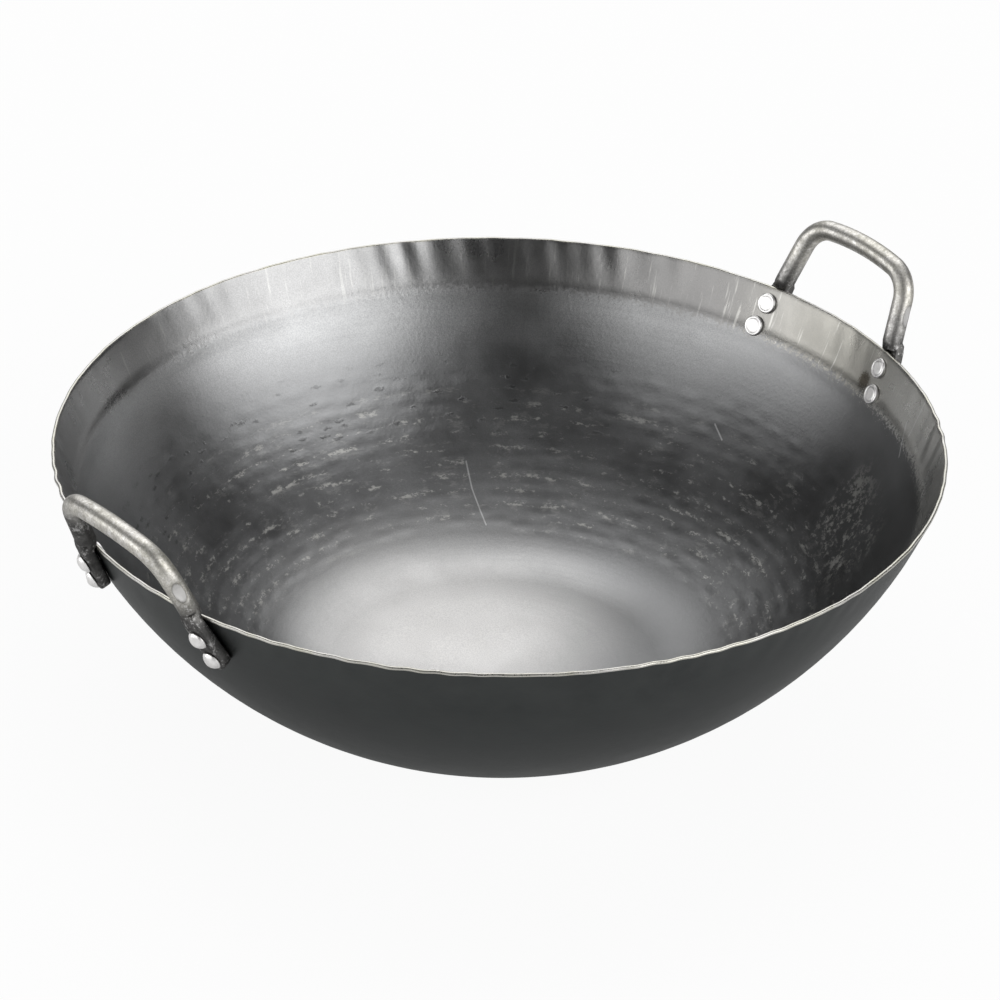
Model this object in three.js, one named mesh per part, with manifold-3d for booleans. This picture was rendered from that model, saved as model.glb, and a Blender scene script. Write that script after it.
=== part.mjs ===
// Two-handled hammered steel wok: a deep round bowl pressed from one sheet, and two
// bent bar handles, each held to the rim by four rivets.
//
// Millimetres, +Z up. The origin is the middle of the flat base, on the surface that
// the pan stands on. The first handle points along +X.

import * as THREE from 'three';
import { mergeVertices } from 'three/addons/utils/BufferGeometryUtils.js';
import Module from 'manifold-3d';

// Driving dimensions of the bowl
const RIM_DIAMETER = 360;
const PAN_DEPTH = 106;
const SHEET = 1.6;
const WALL_LEAN = THREE.MathUtils.degToRad(25.1); // rim band, from upright
const RIM_BAND = 14.1; // straight slant below the rim
const BOWL_RADIUS = 192.2; // dished wall below the rim band
const KNUCKLE_RADIUS = 56; // turn from the dished wall to the flat base

// Driving dimensions of the handles
const BAR_DIAMETER = 8.4;
const LEG_SPACING = 69.2; // between the leg axes, at the rim
const LEG_SPLAY = THREE.MathUtils.degToRad(10); // each leg, outward on its way down
const GRIP_RISE = 33.5; // grip axis above the rim, up the slant
const GRIP_RADIUS = 130; // slow curve of the grip
const CORNER_RADIUS = 13.8; // bend between leg and grip
const STRAP_WIDTH = 10.6; // forged end on the wall
const STRAP_THICKNESS = 5.2;
const STRAP_LENGTH = 24; // below the rim, down the slant
const SHOULDER_GAP = 1.8; // rim to the shoulder of the bar
const SHOULDER_RUN = 1.2;
const SCOOP_RADIUS = 14; // swage mark on the outer side of each leg
const SCOOP_DEPTH = 1;
const SCOOP_RISE = 15.5; // above the rim, up the slant
const SCOOP_TURN = THREE.MathUtils.degToRad(15); // from sideways towards the outside
const HANDLE_SKEW = THREE.MathUtils.degToRad(0.6); // second handle, off the first one's line

// Driving dimensions of the rivets
const SHANK_DIAMETER = 5;
const RIVET_DROPS = { upper: 7.6, lower: 18.4 }; // below the rim, down the slant
const OUTER_HEAD_DIAMETER = 8.4;
const OUTER_HEAD_HEIGHT = 2.6;
const INNER_HEAD_DIAMETER = 8.6;
const INNER_HEAD_HEIGHT = 1.3;
const INNER_HEAD_ROUND = 0.9; // rounded edge of the inner head

// Clearances between pieces that touch on the real pan
const SEAT_CLEARANCE = 0.3;
const SHANK_CLEARANCE = 0.3;

// Facet counts
const BOWL_SIDES = 84;
const BOWL_STEPS = 10;
const KNUCKLE_STEPS = 4;
const LIP_STEPS = 3;
const BAR_SIDES = 18;
const GRIP_STEPS = 4;
const CORNER_STEPS = 7;
const LEG_STEPS = 3;
const SPREAD_STEPS = 3;
const STRAP_STEPS = 2;
const STRAP_END_STEPS = 5;
const RIVET_SIDES = 16;
const DOME_STEPS = 4;
const HEAD_EDGE_STEPS = 2;
const SCOOP_SIDES = 40;
const DRILL_SHARE = 4; // length of a rivet-hole tool, in thicknesses of strap and sheet

// Section of the bar and of the forged strap: 2 is an ellipse, more is squarer
const ROUND_SECTION = 2;
const STRAP_SECTION = 5;
const STRAP_TIP_SHARE = 0.96; // how far round the strap's end the last section lies

const WELD = 1e-4;
const UP = new THREE.Vector3(0, 1, 0);
const RIM_RADIUS = RIM_DIAMETER / 2;

const wasm = await Module();
wasm.setup();

const bowlSteel = new THREE.MeshStandardMaterial({ color: 0x55585a, roughness: 0.45, metalness: 0.9 });
const handleSteel = new THREE.MeshStandardMaterial({ color: 0x8f8d88, roughness: 0.5, metalness: 0.9 });
const rivetSteel = new THREE.MeshStandardMaterial({ color: 0xd2d0cc, roughness: 0.35, metalness: 1 });

// Solids and booleans

/** Turns a closed geometry into a solid that can be joined and cut. */
function toSolid(geometry) {
  const bare = geometry.clone();
  bare.deleteAttribute('normal');
  bare.deleteAttribute('uv');
  const welded = mergeVertices(bare, WELD);
  const corners = Array.from(welded.index.array);
  const triangles = [];
  for (let i = 0; i < corners.length; i += 3) {
    const [a, b, c] = corners.slice(i, i + 3);
    if (a !== b && b !== c && c !== a) triangles.push(a, b, c);
  }
  return new wasm.Manifold(new wasm.Mesh({
    numProp: 3,
    vertProperties: new Float32Array(welded.attributes.position.array),
    triVerts: new Uint32Array(triangles),
  }));
}

/** Gives a solid back as a geometry with normals. */
function toGeometry(solid) {
  const mesh = solid.getMesh();
  const geometry = new THREE.BufferGeometry();
  geometry.setAttribute('position', new THREE.BufferAttribute(new Float32Array(mesh.vertProperties), 3));
  geometry.setIndex(Array.from(mesh.triVerts));
  geometry.computeVertexNormals();
  return geometry;
}

/** Cuts placed tools out of a body geometry. */
function cut(body, tools) {
  let solid = toSolid(body);
  for (const { geometry, matrix } of tools) {
    solid = solid.subtract(toSolid(geometry.clone().applyMatrix4(matrix)));
  }
  return toGeometry(solid);
}

/** Skins rings of equal count into one closed body, with flat caps. */
function loft(rings) {
  const sides = rings[0].length;
  const points = rings.flat();
  const triangles = [];
  for (let i = 0; i < rings.length - 1; i += 1) {
    for (let j = 0; j < sides; j += 1) {
      const near = i * sides + j;
      const nearNext = i * sides + ((j + 1) % sides);
      triangles.push(near, nearNext, nearNext + sides);
      triangles.push(near, nearNext + sides, near + sides);
    }
  }
  const last = (rings.length - 1) * sides;
  for (let j = 1; j < sides - 1; j += 1) {
    triangles.push(0, j + 1, j);
    triangles.push(last, last + j, last + j + 1);
  }
  const geometry = new THREE.BufferGeometry().setFromPoints(points);
  geometry.setIndex(triangles);
  return geometry;
}

/** Points of an arc about a centre, from one angle to another. */
function arc(centre, radius, from, to, steps) {
  return Array.from({ length: steps + 1 }, (_, i) => {
    const angle = from + ((to - from) * i) / steps;
    return new THREE.Vector2(centre.x + radius * Math.cos(angle), centre.y + radius * Math.sin(angle));
  });
}

// The bowl's section: x is the radius and y the height

const bandFoot = new THREE.Vector2(
  RIM_RADIUS - RIM_BAND * Math.sin(WALL_LEAN),
  PAN_DEPTH - RIM_BAND * Math.cos(WALL_LEAN),
);
const bowlCentre = new THREE.Vector2(
  bandFoot.x - BOWL_RADIUS * Math.cos(WALL_LEAN),
  bandFoot.y + BOWL_RADIUS * Math.sin(WALL_LEAN),
);
// The knuckle touches both the dished wall and the flat base
const knuckleCentre = new THREE.Vector2(
  bowlCentre.x + Math.sqrt((BOWL_RADIUS - KNUCKLE_RADIUS) ** 2 - (bowlCentre.y - KNUCKLE_RADIUS) ** 2),
  KNUCKLE_RADIUS,
);
const knuckleTurn = Math.atan2(knuckleCentre.y - bowlCentre.y, knuckleCentre.x - bowlCentre.x);

/** One face of the sheet, from the axis up to the lip, at a depth into the sheet. */
function sheetFace(depth) {
  const knuckle = arc(knuckleCentre, KNUCKLE_RADIUS - depth, -Math.PI / 2, knuckleTurn, KNUCKLE_STEPS);
  const wall = arc(bowlCentre, BOWL_RADIUS - depth, knuckleTurn, -WALL_LEAN, BOWL_STEPS);
  return [new THREE.Vector2(0, depth), ...knuckle, ...wall.slice(1)];
}

/** The rounded lip that joins the outer face of the sheet to the inner one. */
function lip() {
  const radius = SHEET / 2;
  const centre = new THREE.Vector2(
    RIM_RADIUS - radius * (Math.sin(WALL_LEAN) + Math.cos(WALL_LEAN)),
    PAN_DEPTH - radius * (Math.cos(WALL_LEAN) - Math.sin(WALL_LEAN)),
  );
  return arc(centre, radius, -WALL_LEAN, Math.PI - WALL_LEAN, LIP_STEPS);
}

/** The wall's outer face at a slant drop below the rim: its point and outward normal. */
function wallAt(drop) {
  const turn = WALL_LEAN + Math.max(0, drop - RIM_BAND) / BOWL_RADIUS;
  const straight = RIM_BAND - Math.min(drop, RIM_BAND);
  const normal = new THREE.Vector2(Math.cos(turn), -Math.sin(turn));
  const point = bowlCentre.clone().addScaledVector(normal, BOWL_RADIUS);
  point.x += straight * Math.sin(WALL_LEAN);
  point.y += straight * Math.cos(WALL_LEAN);
  return { point, normal };
}

// Places on the handle, in the frame of a handle that points along +X

/** Half the spacing of the leg axes at a slant drop below the rim. */
function legReach(drop) {
  return LEG_SPACING / 2 + drop * Math.tan(LEG_SPLAY);
}

/** The wall under a leg, at a slant drop and on the side +1 or -1: point and normal. */
function seatAt(drop, side) {
  const wall = wallAt(drop);
  const azimuth = side * Math.asin(legReach(drop) / wall.point.x);
  const around = new THREE.Vector3(Math.cos(azimuth), Math.sin(azimuth), 0);
  const lift = (flat) => around.clone().multiplyScalar(flat.x).setZ(flat.y);
  return { point: lift(wall.point), normal: lift(wall.normal) };
}

/** Places a tool or a piece whose +Y axis points out of the wall at a seat. */
function seatMatrix({ point, normal }) {
  const turn = new THREE.Quaternion().setFromUnitVectors(UP, normal);
  return new THREE.Matrix4().compose(point, turn, new THREE.Vector3(1, 1, 1));
}

/** Every rivet of one handle, with its seat on the wall. */
function rivetSeats() {
  return ['left', 'right'].flatMap((leg) => Object.entries(RIVET_DROPS).map(([row, drop]) => ({
    name: `${leg}_${row}`,
    seat: seatAt(drop, leg === 'left' ? 1 : -1),
  })));
}

/** Clearance holes for the rivets of one handle. */
function rivetHoles() {
  const reach = DRILL_SHARE * (STRAP_THICKNESS + SHEET);
  const radius = SHANK_DIAMETER / 2 + SHANK_CLEARANCE;
  const hole = new THREE.CylinderGeometry(radius, radius, reach, RIVET_SIDES);
  return rivetSeats().map(({ seat }) => ({ geometry: hole, matrix: seatMatrix(seat) }));
}

// The handle: a round bar bent in a plane that leans with the wall, with its ends forged
// into flat straps that seat on the outside of the wall

const barOffset = SEAT_CLEARANCE + STRAP_THICKNESS - BAR_DIAMETER / 2;
const rimSeat = seatAt(0, 1);
const planeOrigin = rimSeat.point.clone().addScaledVector(rimSeat.normal, barOffset).setY(0);
const planeUp = new THREE.Vector3(Math.sin(WALL_LEAN), 0, Math.cos(WALL_LEAN));
const planeOut = new THREE.Vector3(Math.cos(WALL_LEAN), 0, -Math.sin(WALL_LEAN));

/** A point of the handle's plane: sideways reach and rise up the slant. */
function planePoint(flat) {
  return planeOrigin.clone().addScaledVector(planeUp, flat.y).setY(flat.x);
}

/** The bar's axis from the middle of the grip round the corner and down the leg. */
function barAxis() {
  const legTurn = Math.PI / 2 - LEG_SPLAY;
  const splay = Math.tan(LEG_SPLAY);
  // The turn at which the slow grip curve gives way to the corner, so that the leg
  // leaves the corner on its own line
  const cornerReach = CORNER_RADIUS * (Math.sin(legTurn) + splay * Math.cos(legTurn));
  const gripReach = LEG_SPACING / 2 - splay * (GRIP_RISE - GRIP_RADIUS) - cornerReach;
  const gripShare = (gripReach * Math.cos(LEG_SPLAY)) / (GRIP_RADIUS - CORNER_RADIUS);
  const gripTurn = Math.asin(gripShare) - LEG_SPLAY;
  const gripCentre = new THREE.Vector2(0, GRIP_RISE - GRIP_RADIUS);
  const quarter = Math.PI / 2;
  const grip = arc(gripCentre, GRIP_RADIUS, quarter, quarter - gripTurn, GRIP_STEPS);
  const cornerCentre = gripCentre.clone();
  cornerCentre.x += (GRIP_RADIUS - CORNER_RADIUS) * Math.sin(gripTurn);
  cornerCentre.y += (GRIP_RADIUS - CORNER_RADIUS) * Math.cos(gripTurn);
  const corner = arc(cornerCentre, CORNER_RADIUS, quarter - gripTurn, quarter - legTurn, CORNER_STEPS);
  const legTop = corner[CORNER_STEPS];
  const shoulder = SHOULDER_GAP + SHOULDER_RUN;
  const legFoot = new THREE.Vector2(legReach(-shoulder), shoulder);
  const leg = Array.from({ length: LEG_STEPS }, (_, i) => {
    const share = (i + 1) / LEG_STEPS;
    return legTop.clone().lerp(legFoot, share);
  });
  return [...grip, ...corner.slice(1), ...leg];
}

/** Sections of the forged strap on one side, from the shoulder down to its rounded end. */
function strapSections() {
  const endStart = STRAP_LENGTH - STRAP_WIDTH / 2;
  // The bar spreads to the strap's full width by the upper rivet
  const spread = Array.from({ length: SPREAD_STEPS + 1 }, (_, i) => ({
    drop: THREE.MathUtils.lerp(-SHOULDER_GAP, RIVET_DROPS.upper, i / SPREAD_STEPS),
    width: THREE.MathUtils.lerp(BAR_DIAMETER, STRAP_WIDTH, i / SPREAD_STEPS),
  }));
  const strap = Array.from({ length: STRAP_STEPS }, (_, i) => ({
    drop: THREE.MathUtils.lerp(RIVET_DROPS.upper, endStart, (i + 1) / STRAP_STEPS),
    width: STRAP_WIDTH,
  }));
  const end = Array.from({ length: STRAP_END_STEPS }, (_, i) => {
    const angle = (STRAP_TIP_SHARE * (i + 1) * Math.PI) / 2 / STRAP_END_STEPS;
    return {
      drop: endStart + (STRAP_WIDTH / 2) * Math.sin(angle),
      width: STRAP_WIDTH * Math.cos(angle),
    };
  });
  return [...spread, ...strap, ...end].map(({ drop, width }) => {
    const seat = seatAt(drop, 1);
    const centre = seat.point.addScaledVector(seat.normal, SEAT_CLEARANCE + STRAP_THICKNESS / 2);
    return { centre, width, thickness: STRAP_THICKNESS, square: STRAP_SECTION };
  });
}

/** All sections of the handle, from the end of one strap to the end of the other. */
function handleSections() {
  const round = { width: BAR_DIAMETER, thickness: BAR_DIAMETER, square: ROUND_SECTION };
  const bar = barAxis().map((flat) => ({ centre: planePoint(flat), ...round }));
  const half = [...bar, ...strapSections()];
  const mirrored = half.slice(1).reverse().map((section) => ({
    ...section,
    centre: section.centre.clone().multiply(new THREE.Vector3(1, -1, 1)),
  }));
  return [...mirrored, ...half];
}

/** A rounded outline about a section's centre, square to the path and flat to the wall. */
function sectionRing(section, along) {
  const azimuth = Math.asin(section.centre.y / RIM_RADIUS);
  const outward = new THREE.Vector3(Math.cos(azimuth), Math.sin(azimuth), -Math.tan(WALL_LEAN));
  const thick = outward.addScaledVector(along, -outward.dot(along)).normalize();
  const wide = new THREE.Vector3().crossVectors(thick, along);
  const power = 2 / section.square;
  const swell = (value) => Math.sign(value) * Math.abs(value) ** power;
  return Array.from({ length: BAR_SIDES }, (_, i) => {
    const angle = (2 * Math.PI * (i + 0.5)) / BAR_SIDES;
    return section.centre.clone()
      .addScaledVector(wide, (section.width / 2) * swell(Math.cos(angle)))
      .addScaledVector(thick, (section.thickness / 2) * swell(Math.sin(angle)));
  });
}

/** Balls that press the swage marks into the outer side of both legs, turned outward. */
function scoops() {
  const ball = new THREE.SphereGeometry(SCOOP_RADIUS, SCOOP_SIDES, SCOOP_SIDES / 2);
  const away = BAR_DIAMETER / 2 - SCOOP_DEPTH + SCOOP_RADIUS;
  return [1, -1].map((side) => {
    const sideways = away * Math.cos(SCOOP_TURN);
    const reach = legReach(-SCOOP_RISE) + sideways * Math.cos(LEG_SPLAY);
    const rise = SCOOP_RISE + sideways * Math.sin(LEG_SPLAY);
    const place = planePoint(new THREE.Vector2(side * reach, rise));
    place.addScaledVector(planeOut, away * Math.sin(SCOOP_TURN));
    return { geometry: ball, matrix: new THREE.Matrix4().setPosition(place) };
  });
}

function handleGeometry() {
  const sections = handleSections();
  const rings = sections.map((section, i) => {
    const before = sections[Math.max(0, i - 1)].centre;
    const after = sections[Math.min(sections.length - 1, i + 1)].centre;
    return sectionRing(section, after.clone().sub(before).normalize());
  });
  return cut(loft(rings), [...rivetHoles(), ...scoops()]);
}

// The rivets: a flat head inside the pan, a shank through wall and strap, a domed head outside

function rivetGeometry() {
  const shank = SHANK_DIAMETER / 2;
  const innerSeat = -SHEET - SEAT_CLEARANCE;
  const innerRadius = INNER_HEAD_DIAMETER / 2;
  const edgeCentre = new THREE.Vector2(
    innerRadius - INNER_HEAD_ROUND,
    innerSeat - INNER_HEAD_HEIGHT + INNER_HEAD_ROUND,
  );
  const outerSeat = SEAT_CLEARANCE + STRAP_THICKNESS + SEAT_CLEARANCE;
  const outerRadius = OUTER_HEAD_DIAMETER / 2;
  const domeRadius = (outerRadius ** 2 + OUTER_HEAD_HEIGHT ** 2) / (2 * OUTER_HEAD_HEIGHT);
  const domeCentre = new THREE.Vector2(0, outerSeat + OUTER_HEAD_HEIGHT - domeRadius);
  const domeFoot = Math.atan2(outerSeat - domeCentre.y, outerRadius);
  const dome = arc(domeCentre, domeRadius, domeFoot, Math.PI / 2, DOME_STEPS);
  dome[DOME_STEPS].x = 0;
  const profile = [
    new THREE.Vector2(0, innerSeat - INNER_HEAD_HEIGHT),
    ...arc(edgeCentre, INNER_HEAD_ROUND, -Math.PI / 2, 0, HEAD_EDGE_STEPS),
    new THREE.Vector2(innerRadius, innerSeat),
    new THREE.Vector2(shank, innerSeat),
    new THREE.Vector2(shank, outerSeat),
    ...dome,
  ];
  return toGeometry(toSolid(new THREE.LatheGeometry(profile, RIVET_SIDES)));
}

// The assembly

const pan = new THREE.Group();
pan.name = 'wok';

const handleTurns = { a: 0, b: Math.PI + HANDLE_SKEW };

function bowlGeometry() {
  const profile = [...sheetFace(0), ...lip(), ...sheetFace(SHEET).reverse()];
  const sheet = new THREE.LatheGeometry(profile, BOWL_SIDES).rotateX(Math.PI / 2);
  const holes = Object.values(handleTurns).flatMap((turn) => {
    const around = new THREE.Matrix4().makeRotationZ(turn);
    return rivetHoles().map(({ geometry, matrix }) => ({
      geometry,
      matrix: around.clone().multiply(matrix),
    }));
  });
  return cut(sheet, holes);
}

const bowl = new THREE.Mesh(bowlGeometry(), bowlSteel);
bowl.name = 'bowl';
pan.add(bowl);

for (const [letter, turn] of Object.entries(handleTurns)) {
  const assembly = new THREE.Group();
  assembly.rotation.z = turn;
  pan.add(assembly);

  const handle = new THREE.Mesh(handleGeometry(), handleSteel);
  handle.name = `handle_${letter}`;
  assembly.add(handle);

  for (const { name, seat } of rivetSeats()) {
    const rivet = new THREE.Mesh(rivetGeometry(), rivetSteel);
    rivet.name = `rivet_${letter}_${name}`;
    rivet.applyMatrix4(seatMatrix(seat));
    assembly.add(rivet);
  }
}

export default pan;
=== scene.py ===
"""Looks of a two-handled hammered steel wok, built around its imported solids.

The pan is one sheet of oiled steel, dished and hammered in rings, with a flat base and
a sheared rim. Two bent bars with forged ends are held to the rim by four rivets each.
Meshes are modelled in millimetres and scaled into metres once, when they become objects.
"""

import logging
import math
from collections.abc import Sequence
from dataclasses import dataclass, field
from enum import Enum

import bmesh
import bpy
import numpy as np
from mathutils import Matrix, Vector


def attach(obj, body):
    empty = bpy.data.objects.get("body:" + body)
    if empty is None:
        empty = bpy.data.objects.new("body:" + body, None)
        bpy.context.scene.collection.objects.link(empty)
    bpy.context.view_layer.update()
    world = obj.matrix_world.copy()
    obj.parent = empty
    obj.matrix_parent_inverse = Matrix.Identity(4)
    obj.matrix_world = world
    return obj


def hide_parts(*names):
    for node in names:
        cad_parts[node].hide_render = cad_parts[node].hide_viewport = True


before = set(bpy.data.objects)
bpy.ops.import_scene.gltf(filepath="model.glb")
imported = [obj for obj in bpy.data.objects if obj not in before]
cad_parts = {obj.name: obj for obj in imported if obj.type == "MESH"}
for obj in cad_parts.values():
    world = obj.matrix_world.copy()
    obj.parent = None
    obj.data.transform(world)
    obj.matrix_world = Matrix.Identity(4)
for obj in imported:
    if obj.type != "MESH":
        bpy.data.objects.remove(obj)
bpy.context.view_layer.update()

LOG = logging.getLogger("wok")
MM = 0.001
FULL_TURN = 2 * math.pi
BODY = "root"
SCOOPED = "scooped"

Pair = tuple[float, float]
Place = tuple[float, float, float]
Zone = tuple[float, float, float, float]
Colour = tuple[float, float, float, float]
Socket = bpy.types.NodeSocket
Feed = Socket | float | Sequence[float]

WHITE: Colour = (1.0, 1.0, 1.0, 1.0)
ROW_PITCH = 6.5
RING_REFERENCE = 0.15
IN_PLAN: Place = (1.0, 1.0, 0.0)
ALONG_RINGS: Place = (0.02, 0.02, 1.0)
ACROSS_RINGS: Place = (1.0, 1.0, 0.07)
LONG_GRAIN: Pair = (3.0, 0.6)
GRAIN_RANGE: Pair = (0.3, 0.7)


def grey(level: float, warmth: float = 0.0, green: float = 0.0) -> Colour:
    """Mixes a grey, warmer towards yellow or greener by small shares of its level."""
    return (level * (1 + warmth), level * (1 + green), level * (1 - warmth), 1.0)


def scatter(*keys: np.ndarray | float) -> np.ndarray:
    """Draws repeatable numbers between 0 and 1 from whole-number keys.

    Args:
        keys: Arrays or numbers of matching shape that name each draw.

    Returns:
        One number for each set of keys.
    """
    weights = (12.9898, 78.233, 37.719)
    mixed = sum(np.asarray(key, float) * weight for key, weight in zip(keys, weights))
    return np.modf(np.abs(np.sin(mixed + 0.61) * 43758.5453))[0]


def smooth_step(low: float, high: float, value: np.ndarray) -> np.ndarray:
    """Rises smoothly from 0 at low to 1 at high."""
    share = np.clip((value - low) / (high - low), 0.0, 1.0)
    return share * share * (3 - 2 * share)


def ripple(azimuth: np.ndarray, counts: Sequence[int], key: int) -> np.ndarray:
    """Adds up waves round the rim by their counts, with phases drawn from a key."""
    return sum(np.cos(count * azimuth + FULL_TURN * scatter(count, key)) for count in counts)


class ProfilePen:
    """Draws one open profile in the XZ plane of a mesh."""

    def __init__(self, mesh: bmesh.types.BMesh, start: Vector) -> None:
        """Puts the pen down.

        Args:
            mesh: The mesh that takes the profile.
            start: Radius and height of the first point.
        """
        self.mesh = mesh
        self.tip = bmesh.ops.create_vert(mesh, co=(start.x, 0, start.y))["vert"][0]
        self.points = {self.tip}

    @property
    def place(self) -> Vector:
        """Radius and height of the pen's tip."""
        return Vector((self.tip.co.x, self.tip.co.z))

    def line(self, end: Vector, steps: int = 1) -> None:
        """Draws a straight run.

        Args:
            end: Radius and height of the far end.
            steps: Number of equal edges.
        """
        stride = Vector((end.x, 0, end.y)) - self.tip.co
        for _ in range(steps):
            self.tip = bmesh.ops.extrude_vert_indiv(self.mesh, verts=[self.tip])["verts"][0]
            bmesh.ops.translate(self.mesh, verts=[self.tip], vec=stride / steps)
            self.points.add(self.tip)

    def arc(self, centre: Vector, turn: float, steps: int) -> None:
        """Draws an arc.

        Args:
            centre: Radius and height of its centre.
            turn: Angle from radius towards height, in radians.
            steps: Number of edges.
        """
        before = set(self.mesh.verts)
        made = bmesh.ops.spin(
            self.mesh, geom=[self.tip], cent=(centre.x, 0, centre.y), axis=(0, -1, 0), angle=turn, steps=steps
        )
        self.tip = next(item for item in made["geom_last"] if isinstance(item, bmesh.types.BMVert))
        self.points |= set(self.mesh.verts) - before

    def revolve(self, sides: int, doublings: int = 3) -> list[bmesh.types.BMFace]:
        """Turns the profile through one sector and doubles that until the turn is full.

        Args:
            sides: Number of steps in the full turn.
            doublings: How often the sector is doubled.

        Returns:
            The faces of the full turn.
        """
        edges = {edge for vert in self.points for edge in vert.link_edges}
        before = set(self.mesh.faces)
        sectors = 2**doublings
        bmesh.ops.spin(
            self.mesh,
            geom=[*self.points, *edges],
            cent=(0, 0, 0),
            axis=(0, 0, 1),
            angle=FULL_TURN / sectors,
            steps=sides // sectors,
        )
        faces = [face for face in self.mesh.faces if face not in before]
        for level in range(doublings):
            copied = bmesh.ops.duplicate(self.mesh, geom=faces)["geom"]
            verts = [item for item in copied if isinstance(item, bmesh.types.BMVert)]
            turn = Matrix.Rotation(FULL_TURN / sectors * 2**level, 3, "Z")
            bmesh.ops.rotate(self.mesh, cent=(0, 0, 0), matrix=turn, verts=verts)
            faces += [item for item in copied if isinstance(item, bmesh.types.BMFace)]
        return faces


def close_up(mesh: bmesh.types.BMesh, gap: float = 0.001) -> None:
    """Merges doubled points and turns every face outwards."""
    bmesh.ops.remove_doubles(mesh, verts=mesh.verts, dist=gap)
    bmesh.ops.recalc_face_normals(mesh, faces=mesh.faces)


def make_object(
    mesh: bmesh.types.BMesh, name: str, node: str, finishes: Sequence[bpy.types.Material]
) -> bpy.types.Object:
    """Makes a finished piece that stands for one node of the solids.

    Args:
        mesh: The piece in millimetres, which is freed.
        name: Name of the piece.
        node: Node that the piece replaces.
        finishes: Materials, in the order of the faces' material indices.

    Returns:
        The object, at the origin, riding on the pan's only body.
    """
    bmesh.ops.scale(mesh, verts=mesh.verts, vec=(MM, MM, MM))
    for face in mesh.faces:
        face.smooth = True
    data = bpy.data.meshes.new(name)
    mesh.to_mesh(data)
    mesh.free()
    for finish in finishes:
        data.materials.append(finish)
    piece = bpy.data.objects.new(name, data)
    bpy.context.scene.collection.objects.link(piece)
    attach(piece, BODY)
    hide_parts(node)
    LOG.info("%s stands for %s with %d faces", name, node, len(data.polygons))
    return piece


# Shader nodes


class NodeSketch:
    """Adds and links the nodes of one shader tree."""

    def __init__(self, tree: bpy.types.NodeTree) -> None:
        """Takes the tree that the nodes go into."""
        self.tree = tree

    def feed(self, socket: Socket, value: Feed) -> None:
        """Links a socket to another one, or sets its own value.

        Args:
            socket: The input to feed.
            value: The output to link, or the value to set.
        """
        if isinstance(value, Socket):
            self.tree.links.new(value, socket)
        else:
            socket.default_value = value

    def add(
        self, kind: str, feeds: dict[str | int, Feed] | None = None, **settings: object
    ) -> bpy.types.Node:
        """Adds one node.

        Args:
            kind: Type of the node.
            feeds: Values or links by the name or number of the input.
            settings: Properties of the node.

        Returns:
            The new node.
        """
        node = self.tree.nodes.new(kind)
        for name, value in settings.items():
            setattr(node, name, value)
        for key, value in (feeds or {}).items():
            self.feed(node.inputs[key], value)
        return node

    def math(self, operation: str, first: Feed, second: Feed = 0.0, clamp: bool = False) -> Socket:
        """Adds a Math node and gives its result."""
        feeds = {0: first, 1: second}
        return self.add("ShaderNodeMath", feeds, operation=operation, use_clamp=clamp).outputs[0]

    def times(self, first: Feed, second: Feed) -> Socket:
        """Multiplies two values."""
        return self.math("MULTIPLY", first, second)

    def plus(self, first: Feed, second: Feed) -> Socket:
        """Adds two values."""
        return self.math("ADD", first, second)

    def most(self, first: Feed, second: Feed) -> Socket:
        """Takes the larger of two values."""
        return self.math("MAXIMUM", first, second)

    def rest(self, share: Feed) -> Socket:
        """Takes a share away from 1."""
        return self.math("SUBTRACT", 1.0, share)

    def swing(self, value: Feed, size: float) -> Socket:
        """Lets a value between 0 and 1 swing about 0 by a size."""
        return self.times(self.math("SUBTRACT", value, 0.5), size)

    def vector(
        self, operation: str, first: Feed, second: Feed = (0.0, 0.0, 0.0), output: str = "Value"
    ) -> Socket:
        """Adds a Vector Math node and gives one of its results."""
        feeds = {0: first, 1: second}
        return self.add("ShaderNodeVectorMath", feeds, operation=operation).outputs[output]

    def stretch(self, vector: Feed, factors: Sequence[float]) -> Socket:
        """Multiplies a vector by fixed factors."""
        return self.vector("MULTIPLY", vector, factors, "Vector")

    def ease(self, value: Feed, low: float, high: float, start: float = 0.0, end: float = 1.0) -> Socket:
        """Maps a value smoothly from one range to another and holds it outside.

        Args:
            value: The value to map.
            low: Value at which the result is start.
            high: Value at which the result is end.
            start: Result at low.
            end: Result at high.

        Returns:
            The mapped value.
        """
        if low > high:
            low, high, start, end = high, low, end, start
        feeds = {"Value": value, "From Min": low, "From Max": high, "To Min": start, "To Max": end}
        return self.add("ShaderNodeMapRange", feeds, interpolation_type="SMOOTHSTEP").outputs["Result"]

    def zone(self, value: Feed, edges: Zone) -> Socket:
        """Rises over the first two edges and falls over the last two."""
        low, full_low, full_high, high = edges
        return self.times(self.ease(value, low, full_low), self.ease(value, high, full_high))

    def blend(self, factor: Feed, first: Feed, second: Feed) -> Socket:
        """Mixes two colours, by the share of the second one."""
        feeds = {0: factor, 6: first, 7: second}
        return self.add("ShaderNodeMix", feeds, data_type="RGBA").outputs[2]

    def noise(self, vector: Feed, scale: Feed, detail: float = 2.0, roughness: float = 0.5) -> Socket:
        """Adds fractal noise and gives its value."""
        feeds = {"Vector": vector, "Scale": scale, "Detail": detail, "Roughness": roughness}
        return self.add("ShaderNodeTexNoise", feeds).outputs["Fac"]

    def bump(self, height: Feed, distance: float, strength: float, normal: Socket | None = None) -> Socket:
        """Adds a Bump node.

        Args:
            height: Height in shares of the distance.
            distance: Full height in metres.
            strength: Share of the bump that shows.
            normal: Normal to start from.

        Returns:
            The bumped normal.
        """
        feeds = {"Height": height, "Distance": distance, "Strength": strength}
        node = self.add("ShaderNodeBump", feeds)
        if normal is not None:
            self.feed(node.inputs["Normal"], normal)
        return node.outputs["Normal"]


class SocketKind(Enum):
    """Kinds of socket on the shared node groups."""

    VALUE = "NodeSocketFloat"
    VECTOR = "NodeSocketVector"


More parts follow.
